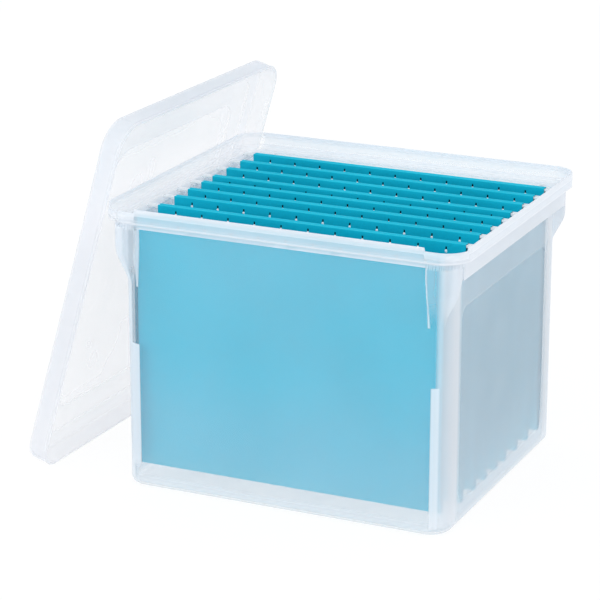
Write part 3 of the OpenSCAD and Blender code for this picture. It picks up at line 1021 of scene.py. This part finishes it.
# A small wedge over each slot's lower end, on both flaps: the slot's width plus its spread, and its
# profile as (out, up) from the slot's lower edge
def punchedLips(size, middles, flat, low, count, starts):
    half = size["slotWidth"] / 2 + size["lipSpread"]
    points = []
    faces = []
    for start, middle in zip(starts, middles):
        for column, sign in ((low, 1), (count - 1 - low, -1)):
            anchor = flat[start * count + column]
            base = len(points)
            for x in (middle - half, middle + half):
                for out, up in size["lipShape"]:
                    points.append([x, anchor[1] + sign * out, anchor[2] + up])
            for i in range(4):
                j = (i + 1) % 4
                faces.append([base + i, base + j, base + 4 + j, base + 4 + i])
            faces.append([base, base + 3, base + 2, base + 1])
            faces.append([base + 4, base + 5, base + 6, base + 7])
    return np.array(points), faces


# The section carried along X, with slot cells left out and walled, punched lips at the slots' lower
# ends, and a slow wave: y + wave x sin(x / length + shift x index) x sin(pi x share of the height)
def makeCardPiece(index, size, material):
    bottom = size["frontBottom"] if index == 0 else size["bottom"]
    right, low, innerLow, pocket = cardSection(size, bottom)
    loop = np.concatenate([right, right[::-1] * [-1, 1]])
    places, middles = cardColumns(size)
    rows = len(places)
    count = len(loop)
    points = np.zeros((rows, count, 3))
    points[:, :, 0] = places[:, None]
    points[:, :, 1] = loop[None, :, 0]
    points[:, :, 2] = loop[None, :, 1]
    share = (points[:, :, 2] - bottom) / (size["top"] - bottom)
    phase = places[:, None] / size["waveLength"] + size["waveShift"] * index
    points[:, :, 1] += size["wave"] * (np.sin(phase) * np.sin(np.pi * np.clip(share, 0, 1)))
    faces = gridFaces(rows, count)
    row, column = faces[:, 0] // count, faces[:, 0] % count
    starts = np.searchsorted(places, middles - size["slotWidth"] / 2 - 0.01)
    pairs = ((low, innerLow - 1), (count - 2 - low, count - 2 - (innerLow - 1)))
    gone = np.isin(row, starts) & np.isin(column, pairs)
    flat = points.reshape(-1, 3)
    lips, lipFaces = punchedLips(size, middles, flat, low, count, starts)
    faces = faces[~gone].tolist() + slotWalls(starts, pairs, count) + endCaps(rows, count)
    faces += [[len(flat) + i for i in face] for face in lipFaces]
    # The pocket points, which the card material paints near black as shade
    pocketShadePoints = np.tile(np.concatenate([pocket, pocket[::-1]]), rows)
    flags = {"inside": np.concatenate([pocketShadePoints, np.zeros(len(lips))]),
             "punched": np.concatenate([np.zeros(len(flat)), np.ones(len(lips))])}
    name = "folder_" + str(index + 1) + "_sheet"
    placed = np.concatenate([flat, lips]) + folderPlace(index)
    return makePiece(name, placed, faces, material, size["sharpAngle"], size["mergeGap"], flags)


# A bar carried along X, its section a rounded box by cosine and sine to the round power: its lower
# edge rises in the notches, and both ends are drawn in by a quarter circle
def makeStrip(index, sign, size, material):
    half = size["length"] / 2
    notch = size["notchPlace"]
    near = np.concatenate([notch + np.array(size["notchRows"]), half - np.array(size["endRows"])])
    between = np.linspace(-size["middleHalf"], size["middleHalf"], size["middleRows"])
    x = np.concatenate([-near[::-1], between, near])
    lift = size["notchDepth"] * (1 - smoothStep(*size["notchEdge"], np.abs(np.abs(x) - notch)))
    past = np.clip((np.abs(x) - (half - size["endRound"])) / size["endRound"], 0, 1)
    shrink = np.sqrt(np.maximum(1 - past ** 2, size["endLeast"]))
    middle = (size["low"] + size["high"]) / 2
    tall = (size["high"] - size["low"]) / 2
    angle = np.linspace(0, 2 * np.pi, size["around"] + 1)[:-1]
    roundY = np.sign(np.cos(angle)) * np.abs(np.cos(angle)) ** size["roundPower"]
    roundZ = np.sign(np.sin(angle)) * np.abs(np.sin(angle)) ** size["roundPower"]
    y = size["thickness"] / 2 * roundY[None, :] * (0.5 + 0.5 * shrink[:, None])
    z = middle + tall * roundZ[None, :] * shrink[:, None]
    z = np.maximum(z, size["low"] + lift[:, None])
    grid = np.stack([x[:, None] + 0 * y, y + sign * size["offset"], z], -1)
    faces = gridFaces(len(x), len(angle)).tolist() + endCaps(len(x), len(angle))
    name = "folder_" + str(index + 1) + ("_front_bar" if sign < 0 else "_rear_bar")
    placed = grid.reshape(-1, 3) + folderPlace(index)
    return makePiece(name, placed, faces, material, size["sharpAngle"], size["mergeGap"])


for index in range(len(folderPlaces["nudge"])):
    body = "folder_" + str(index + 1)
    sheet = makeCardPiece(index, folderSize, cardPaper)
    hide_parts(body + "_card")
    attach(sheet, body)
    for sign, end in ((-1, "_front_strip"), (1, "_rear_strip")):
        bar = makeStrip(index, sign, stripSize, stripCoat)
        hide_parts(body + end)
        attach(bar, body)
print("folders made")

# Surroundings: pale floor, plain world and soft lamps
studioSpec = {
    "floorHalf": 6.0,
    "floorDrop": 0.0003,
    "floorGlow": 0.90,
    "floorBounce": 0.78,
    "floorColour": (0.12, 0.12, 0.12),
    "floorRoughness": 0.9,
    "skyColour": (0.93, 0.97, 1.0),
    "skyStrength": 0.92,
}
lampSpec = {
    "frontSoftbox": {"place": (-0.6, -2.4, 1.0), "watts": 14},
    "rightSoftbox": {"place": (2.4, -0.4, 1.2), "watts": 8},
}
lampTarget = (0, 0, 0.15)
lampSide = 1.6


# 1 where a ray comes from the camera, a glossy bounce or a see-through one
def seenWhite(tree):
    path = tree.nodes.new("ShaderNodeLightPath")
    first = addMath(tree, "MAXIMUM", path.outputs["Is Camera Ray"], path.outputs["Is Glossy Ray"])
    return addMath(tree, "MAXIMUM", first, path.outputs["Is Transmission Ray"])


# A flat square just under the box: a dull surface plus a glow, the bounce level for all rays and the
# glow level for those that see white
def makeFloor(spec):
    half = spec["floorHalf"]
    corners = [(-half, -half, 0), (half, -half, 0), (half, half, 0), (-half, half, 0)]
    mesh = bpy.data.meshes.new("paleFloor")
    mesh.from_pydata(corners, [], [(0, 1, 2, 3)])
    material, tree, shader = newMaterial("paleFloor")
    shader.inputs["Base Color"].default_value = (*spec["floorColour"], 1)
    shader.inputs["Roughness"].default_value = spec["floorRoughness"]
    shader.inputs["Specular IOR Level"].default_value = 0.0
    glow = tree.nodes.new("ShaderNodeEmission")
    extra = addMath(tree, "MULTIPLY", seenWhite(tree), spec["floorGlow"] - spec["floorBounce"])
    tree.links.new(addMath(tree, "ADD", extra, spec["floorBounce"]), glow.inputs["Strength"])
    both = tree.nodes.new("ShaderNodeAddShader")
    tree.links.new(shader.outputs[0], both.inputs[0])
    tree.links.new(glow.outputs[0], both.inputs[1])
    tree.links.new(both.outputs[0], tree.nodes["Material Output"].inputs["Surface"])
    mesh.materials.append(material)
    floor = bpy.data.objects.new("paleFloor", mesh)
    floor.location = (0, 0, -spec["floorDrop"])
    bpy.context.scene.collection.objects.link(floor)


# A plain sky that lights the box, and white for the rays that see white
def makeWorld(spec):
    world = bpy.data.worlds.new("plainStudio")
    bpy.context.scene.world = world
    world.use_nodes = True
    tree = world.node_tree
    sky = tree.nodes["Background"]
    sky.inputs["Color"].default_value = (*spec["skyColour"], 1)
    sky.inputs["Strength"].default_value = spec["skyStrength"]
    white = tree.nodes.new("ShaderNodeBackground")
    white.inputs["Color"].default_value = (1, 1, 1, 1)
    mix = tree.nodes.new("ShaderNodeMixShader")
    tree.links.new(seenWhite(tree), mix.inputs[0])
    tree.links.new(sky.outputs[0], mix.inputs[1])
    tree.links.new(white.outputs[0], mix.inputs[2])
    tree.links.new(mix.outputs[0], tree.nodes["World Output"].inputs["Surface"])


# A square area lamp at its place, facing the target
def makeLamp(name, place, watts):
    data = bpy.data.lights.new(name, "AREA")
    data.shape = "RECTANGLE"
    data.size = lampSide
    data.size_y = lampSide
    data.energy = watts
    lamp = bpy.data.objects.new(name, data)
    direction = Vector(lampTarget) - Vector(place)
    lamp.location = place
    lamp.rotation_euler = direction.to_track_quat("-Z", "Y").to_euler()
    lamp.visible_camera = False
    bpy.context.scene.collection.objects.link(lamp)


makeFloor(studioSpec)
makeWorld(studioSpec)
for name, spec in lampSpec.items():
    makeLamp(name, spec["place"], spec["watts"])
